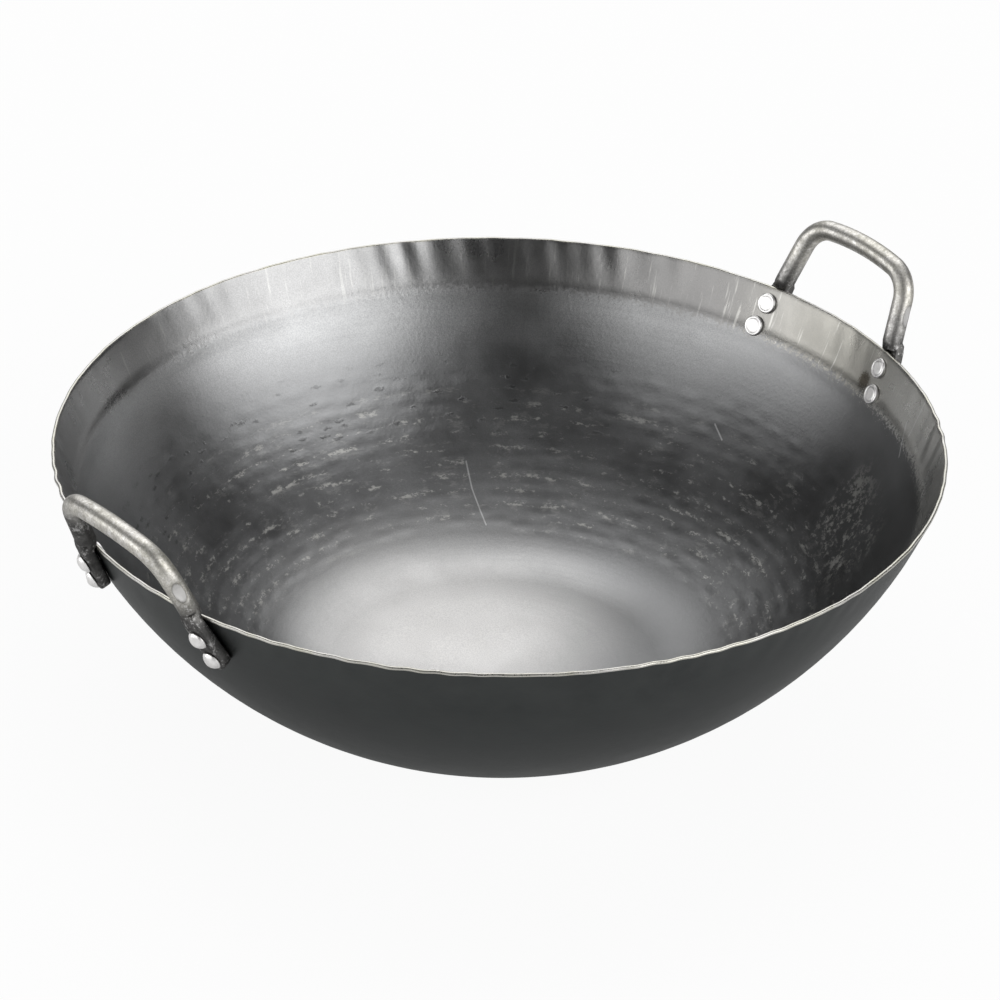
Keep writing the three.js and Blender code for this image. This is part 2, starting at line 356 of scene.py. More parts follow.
def new_group(
    name: str, inputs: dict[str, SocketKind], outputs: dict[str, SocketKind]
) -> tuple[NodeSketch, bpy.types.Node, bpy.types.Node]:
    """Starts a shared node group.

    Args:
        name: Name of the group.
        inputs: Kind of each named input.
        outputs: Kind of each named output.

    Returns:
        The group's sketch, its input node and its output node.
    """
    tree = bpy.data.node_groups.new(name, "ShaderNodeTree")
    for side, sockets in (("INPUT", inputs), ("OUTPUT", outputs)):
        for label, kind in sockets.items():
            tree.interface.new_socket(name=label, in_out=side, socket_type=kind.value)
    sketch = NodeSketch(tree)
    return sketch, sketch.add("NodeGroupInput"), sketch.add("NodeGroupOutput")


@dataclass(frozen=True)
class SheetSection:
    """Section of the bowl's sheet, in millimetres, with radius and height as its axes."""

    rim_radius: float = 180.0
    depth: float = 106.0
    sheet: float = 1.6
    lean: float = math.radians(25.1)
    band: float = 14.1
    dish_radius: float = 192.2
    knuckle_radius: float = 56.0

    @property
    def slant(self) -> Vector:
        """Direction up the rim band."""
        return Vector((math.sin(self.lean), math.cos(self.lean)))

    @property
    def rim(self) -> Vector:
        """Outer corner of the rim."""
        return Vector((self.rim_radius, self.depth))

    @property
    def band_foot(self) -> Vector:
        """Foot of the straight band, on the outer face."""
        return self.rim - self.slant * self.band

    @property
    def dish_centre(self) -> Vector:
        """Centre of the dished wall's curve."""
        return self.band_foot - self.face_normal(self.lean) * self.dish_radius

    @property
    def knuckle_centre(self) -> Vector:
        """Centre of the turn from the dished wall to the flat base."""
        reach = self.dish_radius - self.knuckle_radius
        drop = self.dish_centre.y - self.knuckle_radius
        return Vector((self.dish_centre.x + math.sqrt(reach**2 - drop**2), self.knuckle_radius))

    @property
    def knuckle_turn(self) -> float:
        """Angle below level at which the dish meets the knuckle."""
        arm = self.knuckle_centre - self.dish_centre
        return math.atan2(-arm.y, arm.x)

    @staticmethod
    def face_normal(turn: float) -> Vector:
        """Outward normal of the wall that faces down by a turn."""
        return Vector((math.cos(turn), -math.sin(turn)))

    def wall_at(self, drop: float) -> tuple[Vector, Vector]:
        """Finds the wall's outer face.

        Args:
            drop: Way down the slant from the rim.

        Returns:
            The point on the outer face and its outward normal.
        """
        turn = self.lean + max(0.0, drop - self.band) / self.dish_radius
        normal = self.face_normal(turn)
        straight = self.band - min(drop, self.band)
        return self.dish_centre + normal * self.dish_radius + self.slant * straight, normal

    def locate(self, radius: np.ndarray, height: np.ndarray) -> tuple[np.ndarray, np.ndarray]:
        """Finds where points of the sheet lie on the wall.

        Args:
            radius: Distance of each point from the axis.
            height: Height of each point.

        Returns:
            The way down the slant from the rim, and the angle that the wall faces down by.
        """
        centre = self.dish_centre
        turn = np.maximum(np.arctan2(centre.y - height, radius - centre.x), self.lean)
        along = (radius - self.rim.x) * self.slant.x + (height - self.rim.y) * self.slant.y
        curved = self.band + (turn - self.lean) * self.dish_radius
        return np.where(turn > self.lean + 1e-6, curved, -along), turn


@dataclass(frozen=True)
class SharedEffects:
    """Node groups that more than one finish uses."""

    ring: bpy.types.NodeTree
    mottle: bpy.types.NodeTree
    flecks: bpy.types.NodeTree
    grain: bpy.types.NodeTree

    @classmethod
    def build(cls, section: SheetSection) -> "SharedEffects":
        """Builds every shared group once, the ring coordinates after the bowl's section."""
        return cls(cls.ring_group(section), cls.mottle_group(), cls.fleck_group(), cls.grain_group())

    @staticmethod
    def ring_group(section: SheetSection) -> bpy.types.NodeTree:
        """Builds coordinates that follow the pan's rings.

        Args:
            section: Section of the bowl.

        Returns:
            A group with a seamless ring vector, the radius and the way down from the rim, in metres.
        """
        kinds = {"Ring": SocketKind.VECTOR, "Radius": SocketKind.VALUE, "Drop": SocketKind.VALUE}
        sketch, source, result = new_group("ring_coordinates", {"Position": SocketKind.VECTOR}, kinds)
        place = source.outputs["Position"]
        split = sketch.add("ShaderNodeSeparateXYZ", {0: place})
        radius = sketch.vector("LENGTH", sketch.stretch(place, IN_PLAN))
        below = sketch.math("SUBTRACT", section.dish_centre.y * MM, split.outputs["Z"])
        beyond = sketch.math("SUBTRACT", sketch.math("ARCTAN2", below, radius), section.lean)
        drop = sketch.plus(sketch.times(beyond, section.dish_radius * MM), section.band * MM)
        share = sketch.math("DIVIDE", RING_REFERENCE, sketch.most(radius, MM))
        east, north = (sketch.times(split.outputs[axis], share) for axis in "XY")
        ring = sketch.add("ShaderNodeCombineXYZ", {0: east, 1: north, 2: drop}).outputs[0]
        for name, made in zip(kinds, (ring, radius, drop)):
            sketch.feed(result.inputs[name], made)
        return sketch.tree

    @staticmethod
    def mottle_group() -> bpy.types.NodeTree:
        """Builds soft blotches of scale and oil, as a mask.

        Returns:
            The group.
        """
        inputs = {"Vector": SocketKind.VECTOR, "Scale": SocketKind.VALUE, "Spread": SocketKind.VALUE}
        sketch, source, result = new_group("scale_mottle", inputs, {"Mask": SocketKind.VALUE})
        cloud = sketch.noise(source.outputs["Vector"], source.outputs["Scale"], 6.0, 0.62)
        away = sketch.math("SUBTRACT", cloud, 0.5)
        wide = sketch.math("DIVIDE", away, source.outputs["Spread"])
        sketch.feed(result.inputs["Mask"], sketch.math("ADD", wide, 0.5, clamp=True))
        return sketch.tree

    @staticmethod
    def fleck_group() -> bpy.types.NodeTree:
        """Builds small rubbed flecks that come in clusters, as a mask.

        Returns:
            The group.
        """
        inputs = {"Vector": SocketKind.VECTOR, "Scale": SocketKind.VALUE, "Cover": SocketKind.VALUE}
        sketch, source, result = new_group("rubbed_flecks", inputs, {"Mask": SocketKind.VALUE})
        vector, scale = source.outputs["Vector"], source.outputs["Scale"]
        shape = sketch.noise(vector, scale, 3.0, 0.6)
        cluster = sketch.noise(vector, sketch.times(scale, 0.27), 2.0, 0.5)
        broken = sketch.noise(vector, sketch.times(scale, 3.1), 2.0, 0.6)
        total = sketch.plus(shape, sketch.times(cluster, 0.8))
        raised = sketch.plus(total, sketch.times(broken, 0.5))
        level = sketch.math("SUBTRACT", raised, sketch.math("SUBTRACT", 1.57, source.outputs["Cover"]))
        sketch.feed(result.inputs["Mask"], sketch.ease(level, 0.0, 0.2))
        return sketch.tree

    @staticmethod
    def grain_group() -> bpy.types.NodeTree:
        """Builds the fine tooth of the steel, as a height and as a speckle.

        Returns:
            The group.
        """
        inputs = {"Vector": SocketKind.VECTOR, "Scale": SocketKind.VALUE}
        outputs = {"Height": SocketKind.VALUE, "Speckle": SocketKind.VALUE}
        sketch, source, result = new_group("steel_grain", inputs, outputs)
        tooth = sketch.noise(source.outputs["Vector"], source.outputs["Scale"], 4.0, 0.65)
        sketch.feed(result.inputs["Height"], tooth)
        sketch.feed(result.inputs["Speckle"], sketch.ease(tooth, 0.36, 0.64))
        return sketch.tree


# Finishes


class Coat(NodeSketch):
    """The nodes of one steel material."""

    def __init__(self, name: str) -> None:
        """Starts the material and its object coordinates.

        Args:
            name: Name of the material.
        """
        self.material = bpy.data.materials.new(name)
        self.material.use_nodes = True
        super().__init__(self.material.node_tree)
        self.place = self.add("ShaderNodeTexCoord").outputs["Object"]

    def shared(self, effect: bpy.types.NodeTree, vector: Socket, *values: float) -> bpy.types.Node:
        """Places a shared group and feeds its inputs in their order."""
        return self.add("ShaderNodeGroup", dict(enumerate((vector, *values))), node_tree=effect)

    def apart(self, spot: Place) -> Socket:
        """Finds how far the steel is from a spot that is given in millimetres."""
        return self.vector("DISTANCE", self.place, Vector(spot) * MM)

    def bearing(self, side: Place, radius: Socket) -> Socket:
        """Finds how squarely the wall lies on a side of the pan, up to 1."""
        along = self.vector("DOT_PRODUCT", self.place, side)
        return self.math("DIVIDE", along, self.most(radius, MM))

    def cover(
        self, colour: Socket, roughness: Socket, normal: Socket, metallic: float = 1.0, sheen: Colour = WHITE
    ) -> bpy.types.Material:
        """Feeds the shader.

        Args:
            colour: Base colour.
            roughness: Roughness.
            normal: Bumped normal.
            metallic: Share of bare metal.
            sheen: Tint of the reflections at a glancing angle.

        Returns:
            The finished material.
        """
        shader = self.tree.nodes["Principled BSDF"]
        feeds = {"Base Color": colour, "Roughness": roughness, "Normal": normal}
        for name, value in (feeds | {"Metallic": metallic, "Specular Tint": sheen}).items():
            self.feed(shader.inputs[name], value)
        return self.material


@dataclass(frozen=True)
class Finish:
    """A steel finish with its colours and gloss."""

    effects: SharedEffects


@dataclass(frozen=True)
class Scratch:
    """A straight mark on the inner face as seen from above, in millimetres of the pan's frame."""

    start: Pair
    end: Pair
    width: float
    core: float = 0.3

    def mask(self, coat: Coat, plan: Socket) -> Socket:
        """Draws the mark.

        Args:
            coat: The material's nodes.
            plan: Object coordinates with the height taken out.

        Returns:
            A mask that is 1 along the line and fades out at the mark's width.
        """
        start = Vector(self.start).to_3d() * MM
        run = Vector(self.end).to_3d() * MM - start
        arm = coat.vector("SUBTRACT", plan, start, "Vector")
        share = coat.vector("DOT_PRODUCT", arm, run / run.length_squared)
        held = coat.math("ADD", share, 0.0, clamp=True)
        foot = coat.add("ShaderNodeVectorMath", {0: run, "Scale": held}, operation="SCALE").outputs["Vector"]
        return coat.ease(coat.vector("DISTANCE", arm, foot), self.width * MM, self.width * MM * self.core)


@dataclass(frozen=True)
class HammeredInside(Finish):
    """Oiled dark steel with hammer rings, a pale polished bottom that also carries a painted highlight, and a
    rubbed rim band.

    Zones and reaches are in metres: of the way down from the rim, of the radius or from a spot.
    """

    dark: Colour = grey(0.186, -0.01)
    scale: Colour = grey(0.285, -0.01)
    upper: Colour = grey(0.39, -0.005)
    # Pale bare steel of the base, made bright enough to stand partly for a painted highlight.
    bottom: Colour = grey(0.79, 0.012)
    band: Colour = grey(0.25, 0.02)
    dry_band: Colour = grey(0.25, 0.065, 0.035)
    rubbed: Colour = grey(0.58, 0.03, 0.02)
    pitted: Colour = grey(0.05)
    bright: Colour = grey(0.85)
    grime: Colour = (0.075, 0.065, 0.05, 1.0)
    scaled_side: Place = (0.94, -0.34, 0.0)
    scaled_range: Pair = (0.74, 0.97)
    dry_side: Place = (0.788, -0.616, 0.0)
    dry_range: Pair = (0.86, 0.96)
    upper_zone: Pair = (0.060, 0.022)
    rim_zone: Pair = (0.0235, 0.0200)
    rim_stipple: float = 0.012
    rim_fray: float = 0.016
    # The pale patch is partly polished bare steel and partly a painted highlight: it sits off the base's
    # centre, where the backdrop's reflection falls.
    polish_highlight_place: Place = (2.5, 34.0, 2.0)
    polish_highlight_reach: Pair = (0.088, 0.012)
    polish_highlight_wander: float = 0.006
    fleck_zone: Zone = (0.092, 0.102, 0.136, 0.150)
    pit_zone: Zone = (0.128, 0.138, 0.148, 0.158)
    pit_range: Pair = (0.78, 0.5)
    grime_place: Place = (169.3, -29.2, 92.3)
    grime_reach: Pair = (0.0046, 0.0024)
    scuff: Scratch = Scratch((137.0, -55.0), (120.0, -80.0), 16.0)
    scratches: tuple[Scratch, ...] = (
        Scratch((65.3, 103.7), (61.2, 94.3), 0.45),
        Scratch((61.2, 94.3), (56.9, 79.0), 0.4),
        Scratch((160.6, -75.6), (154.0, -73.7), 0.5),
        Scratch((157.8, -68.0), (149.4, -73.9), 0.4),
        Scratch((142.6, 33.3), (140.7, 26.2), 0.35),
    )
    blotches: Pair = (38.0, 0.5)
    row_flecks: Pair = (580.0, 0.37)
    scuff_flecks: Pair = (430.0, 0.43)
    tooth_scale: float = 620.0
    fine_scale: float = 1900.0
    lathe_scale: float = 420.0
    streak_scale: float = 620.0
    pit_scale: float = 250.0
    wall_speckle: float = 0.42
    pale_speckle: float = 0.25
    scaled_share: float = 0.29
    wear_share: float = 0.7
    scratch_share: float = 0.5
    pit_share: float = 0.45
    grime_share: float = 0.9
    grime_fray: float = 0.6
    gloss: Pair = (0.30, 0.39)
    wear_dulling: float = 0.08
    floor_dulling: float = 0.25
    rim_polish: float = 0.05
    tooth_bump: Pair = (0.0001, 0.6)
    lathe_bump: Pair = (0.00005, 0.5)
    pit_bump: Pair = (0.0001, 0.4)

    def build(self) -> bpy.types.Material:
        """Builds the material.

        Returns:
            The finished material.
        """
        coat = Coat("inside_steel")
        ring = coat.shared(self.effects.ring, coat.place)
        around, radius, drop = (ring.outputs[name] for name in ("Ring", "Radius", "Drop"))
        mottle = coat.shared(self.effects.mottle, coat.place, *self.blotches).outputs["Mask"]
        tooth = coat.shared(self.effects.grain, coat.place, self.tooth_scale).outputs["Height"]
        fine = coat.shared(self.effects.grain, coat.place, self.fine_scale)
        speckle = fine.outputs["Speckle"]
        stipple = coat.swing(fine.outputs["Height"], self.rim_stipple)
        facing = coat.bearing(self.scaled_side, radius)
        scaled = coat.ease(facing, *self.scaled_range)
        frayed_drop = coat.plus(drop, coat.plus(stipple, coat.swing(tooth, self.rim_fray)))
        rim_share = coat.ease(frayed_drop, *self.rim_zone)
        # Painted highlight: the pale patch on the base, which is partly real polish.
        aside = coat.plus(coat.apart(self.polish_highlight_place), coat.swing(mottle, self.polish_highlight_wander))
        polish_highlight_share = coat.ease(aside, *self.polish_highlight_reach)
        plain = coat.rest(coat.most(rim_share, polish_highlight_share))
        lathe = coat.noise(coat.stretch(around, ALONG_RINGS), self.lathe_scale, *LONG_GRAIN)

        wall = self.wall_tone(coat, drop, scaled, mottle)
        speckled = coat.blend(coat.times(speckle, self.wall_speckle), wall, self.dark)
        dryness = coat.ease(coat.bearing(self.dry_side, radius), *self.dry_range)
        dried = coat.blend(dryness, coat.blend(scaled, self.band, self.dry_band), self.rubbed)
        band_grain = coat.blend(coat.times(speckle, self.pale_speckle), dried, self.dark)
        streak = coat.noise(coat.stretch(around, ACROSS_RINGS), self.streak_scale, *LONG_GRAIN)
        pale = coat.blend(coat.ease(streak, 0.58, 0.72, 0.0, 0.5), band_grain, self.rubbed)
        banded = coat.blend(coat.times(rim_share, coat.ease(facing, 0.1, 0.9, 0.4, 1.0)), speckled, pale)
        floor = coat.blend(coat.times(speckle, self.pale_speckle), self.bottom, self.scale)
        floored = coat.blend(polish_highlight_share, banded, floor)
        ringed = coat.blend(coat.times(coat.ease(lathe, 0.5, 0.7, 0.03, 0.13), plain), floored, self.dark)

        plan = coat.stretch(coat.place, IN_PLAN)
        worn = self.wear_mask(coat, around, radius, drop, plan)
        rubbed = coat.blend(coat.times(worn, self.wear_share), ringed, self.rubbed)
        scratched = coat.times(self.scratch_mask(coat, plan), self.scratch_share)
        scored = coat.blend(scratched, rubbed, self.bright)
        pits = coat.times(self.pit_mask(coat, around, radius, tooth), coat.ease(facing, *self.pit_range))
        coloured = coat.blend(coat.times(pits, self.pit_share), scored, self.pitted)
        frayed = coat.plus(coat.apart(self.grime_place), coat.times(stipple, self.grime_fray))
        soiled = coat.ease(frayed, *self.grime_reach, 0.0, self.grime_share)
        grimy = coat.blend(soiled, coloured, self.grime)

        satin = coat.ease(mottle, 0.0, 1.0, *self.gloss)
        dull = coat.plus(satin, coat.times(worn, self.wear_dulling))
        soft = coat.plus(dull, coat.times(polish_highlight_share, self.floor_dulling))
        roughness = coat.math("SUBTRACT", soft, coat.times(rim_share, self.rim_polish))
        toothed = coat.bump(tooth, *self.tooth_bump)
        rings = coat.bump(coat.times(lathe, plain), *self.lathe_bump, toothed)
        return coat.cover(grimy, roughness, coat.bump(coat.rest(pits), *self.pit_bump, rings))

    def wall_tone(self, coat: Coat, drop: Socket, scaled: Socket, mottle: Socket) -> Socket:
        """Colours the wall, paler towards the rim except on its scaled side.

        Args:
            coat: The material's nodes.
            drop: Way down from the rim.
            scaled: Mask of the scaled side.
            mottle: Blotches.

        Returns:
            The colour.
        """
        lower = coat.blend(mottle, self.dark, self.scale)
        bare = coat.times(coat.ease(drop, *self.upper_zone), coat.rest(scaled))
        raised = coat.blend(bare, lower, self.upper)
        return coat.blend(coat.times(scaled, self.scaled_share), raised, self.pitted)

    def wear_mask(self, coat: Coat, around: Socket, radius: Socket, drop: Socket, plan: Socket) -> Socket:
        """Rubs flecks along the hammered rows and in the large scuff.

        Args:
            coat: The material's nodes.
            around: Ring coordinates.
            radius: Distance from the axis.
            drop: Way down from the rim.
            plan: Object coordinates with the height taken out.

        Returns:
            A mask that is 1 where the steel is rubbed.
        """
        long_ring = coat.stretch(around, (0.4, 0.4, 1.0))
        flecks = coat.shared(self.effects.flecks, long_ring, *self.row_flecks)
        row = coat.math("COSINE", coat.times(drop, FULL_TURN / (ROW_PITCH * MM)))
        in_rows = coat.times(coat.ease(row, 0.0, 0.9, 0.22, 1.0), coat.zone(radius, self.fleck_zone))
        rubs = coat.shared(self.effects.flecks, coat.place, *self.scuff_flecks)
        scuffed = coat.times(rubs.outputs["Mask"], self.scuff.mask(coat, plan))
        return coat.most(coat.times(flecks.outputs["Mask"], in_rows), scuffed)

    def scratch_mask(self, coat: Coat, plan: Socket) -> Socket:
        """Draws every scratch.

        Args:
            coat: The material's nodes.
            plan: Object coordinates with the height taken out.

        Returns:
            A mask that is 1 on the scratches.
        """
        total: Feed = 0.0
        for mark in self.scratches:
            total = coat.most(total, mark.mask(coat, plan))
        return total

    def pit_mask(self, coat: Coat, around: Socket, radius: Socket, tooth: Socket) -> Socket:
        """Scatters small ragged pits above the rows.

        Args:
            coat: The material's nodes.
            around: Ring coordinates.
            radius: Distance from the axis.
            tooth: Height of the grain.

        Returns:
            A mask that is 1 in the pits.
        """
        feeds = {"Vector": coat.stretch(around, (0.36, 0.36, 1.0)), "Scale": self.pit_scale}
        cells = coat.add("ShaderNodeTexVoronoi", feeds).outputs["Distance"]
        pits = coat.ease(coat.plus(cells, coat.swing(tooth, 0.7)), 0.25, 0.08)
        return coat.times(pits, coat.zone(radius, self.pit_zone))


@dataclass(frozen=True)
class ShadedScaleOutside(Finish):
    """Mill scale with a satin gloss, darkened to nearly black as painted shade."""

    # Both tones are painted shade. They are far darker than the inner scale and stand for the shade and dark
    # reflections round the underside.
    dark: Colour = grey(0.052, -0.04, 0.03)
    light: Colour = grey(0.080, -0.02, 0.04)
    sheen: Colour = grey(0.72)
    blotches: Pair = (45.0, 0.6)
    tooth_scale: float = 700.0
    lathe_scale: float = 300.0
    gloss: Pair = (0.38, 0.48)
    tooth_bump: Pair = (0.00006, 0.5)
    lathe_bump: Pair = (0.00005, 0.4)

    def build(self) -> bpy.types.Material:
        """Builds the material.

        Returns:
            The finished material.
        """
        coat = Coat("outside_scale")
        ring = coat.shared(self.effects.ring, coat.place).outputs["Ring"]
        mottle = coat.shared(self.effects.mottle, coat.place, *self.blotches).outputs["Mask"]
        grain = coat.shared(self.effects.grain, coat.place, self.tooth_scale).outputs["Height"]
        tone = coat.blend(mottle, self.dark, self.light)
        lathe = coat.noise(coat.stretch(ring, ALONG_RINGS), self.lathe_scale, *LONG_GRAIN)
        normal = coat.bump(lathe, *self.lathe_bump, coat.bump(grain, *self.tooth_bump))
        return coat.cover(tone, coat.ease(mottle, 0.0, 1.0, *self.gloss), normal, sheen=self.sheen)


@dataclass(frozen=True)
class ShearedEdge(Finish):
    """Bare steel of the sheared rim, yellowed by old oil in places."""

    bare: Colour = grey(0.52, 0.02)
    oiled: Colour = (0.40, 0.39, 0.24, 1.0)
    oil_blotches: Pair = (60.0, 0.35)
    oil_share: float = 0.42
    tooth_scale: float = 1100.0
    gloss: Pair = (0.24, 0.40)
    tooth_bump: Pair = (0.0001, 0.6)

    def build(self) -> bpy.types.Material:
        """Builds the material.

        Returns:
            The finished material.
        """
        coat = Coat("sheared_edge")
        oil = coat.shared(self.effects.mottle, coat.place, *self.oil_blotches).outputs["Mask"]
        grain = coat.shared(self.effects.grain, coat.place, self.tooth_scale).outputs["Height"]
        tone = coat.blend(coat.times(oil, self.oil_share), self.bare, self.oiled)
        satin = coat.ease(grain, *GRAIN_RANGE, *self.gloss)
        return coat.cover(tone, satin, coat.bump(grain, *self.tooth_bump))


@dataclass(frozen=True)
class ForgedBar(Finish):
    """Grey oxidised bar, worn bright on the grip and yellowed by old oil, with painted shade on its feet, its
    lower legs and one near leg, and a painted highlight and shade in its swage scoops.
    """

    dark: Colour = grey(0.42, 0.02)
    grey_steel: Colour = grey(0.89, 0.02)
    # The two foot colours are painted shade for the feet and lower legs. The darker one is also the bar's own
    # grain speckle.
    dark_shade_and_speckle: Colour = grey(0.045, 0.02)
    shaded_foot_steel: Colour = grey(0.15, 0.02)
    # Bright steel of the real wear flecks, and also of the painted highlight in the scoops.
    bright: Colour = grey(0.85, 0.01)
    oiled: Colour = (0.40, 0.37, 0.20, 1.0)
    # Painted shade: below these heights, and round the near-left leg, the bar takes the dark foot colours.
    shade_heights: Pair = (0.104, 0.125)
    shaded_leg: Place = (-192.0, 37.0, 110.0)
    shaded_leg_reach: Pair = (0.014, 0.026)
    sheen: Colour = grey(0.5)
    metallic: float = 0.9
    blotches: Pair = (240.0, 0.5)
    wear_flecks: Pair = (620.0, 0.36)
    wear_share: float = 0.45
    oil_blotches: Pair = (26.0, 0.25)
    oil_share: float = 0.24
    tooth_scale: float = 1150.0
    speckle: float = 0.38
    gloss: Pair = (0.50, 0.36)
    tooth_bump: Pair = (0.00008, 0.5)

    def build(self) -> bpy.types.Material:
        """Builds the material.

        Returns:
            The finished material.
        """
        coat = Coat("forged_bar")
        mottle = coat.shared(self.effects.mottle, coat.place, *self.blotches).outputs["Mask"]
        flecks = coat.shared(self.effects.flecks, coat.place, *self.wear_flecks).outputs["Mask"]
        oil = coat.shared(self.effects.mottle, coat.place, *self.oil_blotches).outputs["Mask"]
        grain = coat.shared(self.effects.grain, coat.place, self.tooth_scale)
        height = coat.add("ShaderNodeSeparateXYZ", {0: coat.place}).outputs["Z"]
        foot = coat.blend(mottle, self.dark_shade_and_speckle, self.shaded_foot_steel)
        grip = coat.blend(mottle, self.dark, self.grey_steel)
        off_shaded_leg = coat.ease(coat.apart(self.shaded_leg), *self.shaded_leg_reach)
        # Painted shade: this share is 0 on the feet, the lower legs and the near-left leg, and 1 on the worn
        # grey grip above them.
        worn = coat.times(coat.ease(height, *self.shade_heights), off_shaded_leg)
        tone = coat.blend(worn, foot, grip)
        # The speckle is the bar's own grain, in the same dark as the painted shade.
        speckled = coat.blend(coat.times(grain.outputs["Speckle"], self.speckle), tone, self.dark_shade_and_speckle)
        stained = coat.blend(coat.times(oil, coat.times(worn, self.oil_share)), speckled, self.oiled)
        # Painted shade and painted highlight of the swage scoops: a dark rim round each scoop and a bright
        # hollow, wherever the pressed attribute is set.
        pressed = coat.add("ShaderNodeAttribute", attribute_name=SCOOPED).outputs["Fac"]
        scoop_shade_rim = coat.blend(coat.ease(pressed, 0.0, 0.4, 0.0, 0.5), stained, self.dark_shade_and_speckle)
        hollow = coat.ease(pressed, 0.2, 1.0, 0.0, 0.6)
        # Real wear flecks and the painted scoop highlight share one mask.
        wear_and_highlight = coat.most(coat.times(flecks, self.wear_share), hollow)
        rubbed = coat.blend(wear_and_highlight, scoop_shade_rim, self.bright)
        roughness = coat.ease(mottle, 0.0, 1.0, *self.gloss)
        normal = coat.bump(grain.outputs["Height"], *self.tooth_bump)
        return coat.cover(rubbed, roughness, normal, self.metallic, self.sheen)


@dataclass(frozen=True)
class PeenedRivet(Finish):
    """Bright rivet steel with fine tool marks."""

    bright: Colour = grey(0.88, 0.01)
    dull: Colour = grey(0.62, 0.02)
    blotches: Pair = (320.0, 0.5)
    dull_share: float = 0.6
    tooth_scale: float = 900.0
    gloss: Pair = (0.28, 0.42)
    tooth_bump: Pair = (0.00008, 0.5)

    def build(self) -> bpy.types.Material:
        """Builds the material.

        Returns:
            The finished material.
        """
        coat = Coat("peened_rivet")
        grain = coat.shared(self.effects.grain, coat.place, self.tooth_scale).outputs["Height"]
        mottle = coat.shared(self.effects.mottle, coat.place, *self.blotches).outputs["Mask"]
        tone = coat.blend(coat.times(mottle, self.dull_share), self.bright, self.dull)
        satin = coat.ease(grain, *GRAIN_RANGE, *self.gloss)
        return coat.cover(tone, satin, coat.bump(grain, *self.tooth_bump))


# The bowl


class Face(Enum):
    """Faces of the bowl's sheet, in the order of its material slots."""

    INSIDE = 0
    EDGE = 1
    OUTSIDE = 2


